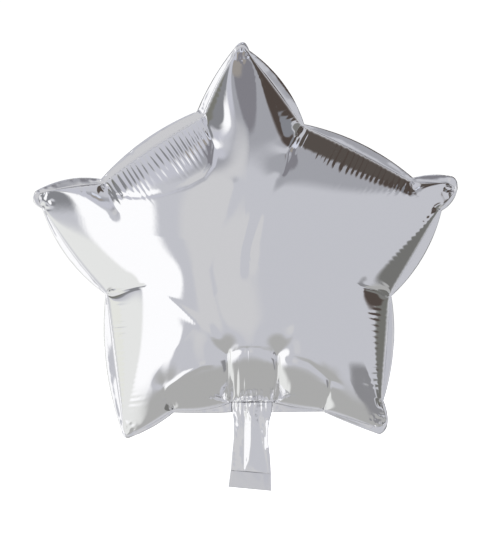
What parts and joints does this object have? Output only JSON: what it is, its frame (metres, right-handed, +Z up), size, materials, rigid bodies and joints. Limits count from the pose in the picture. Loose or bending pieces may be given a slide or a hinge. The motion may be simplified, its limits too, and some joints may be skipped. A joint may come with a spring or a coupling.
{
  "type": "star foil balloon",
  "caption": "Inflated silver foil balloon in the shape of a five-pointed star, with a welded seam margin and a flat filling tail.",
  "frame": {"origin": "where the ribbon ties the neck: the middle of the seam plane, where the star meets the tail", "axes": "+Z up from the tail towards the top arm, +Y towards the back of the balloon, +X to the right seen from the front"},
  "size_m": [0.4028, 0.1804, 0.4262],
  "materials": {
    "front_film": "bright silver metallised film, mirror-like with fine wrinkles",
    "back_film": "bright silver metallised film, mirror-like with fine wrinkles",
    "margin_film": "two welded layers of silver film, crinkled",
    "tail_film": "silver film with long folds",
    "valve_film": "thin clear plastic film"
  },
  "bodies": {
    "root": {"front_panel": "front_film", "back_panel": "back_film", "seam_margin": "margin_film", "tail_front": "tail_film", "tail_back": "tail_film", "mouth_band_front": "tail_film", "mouth_band_back": "tail_film", "valve_film": "valve_film"}
  },
  "joints": []
}
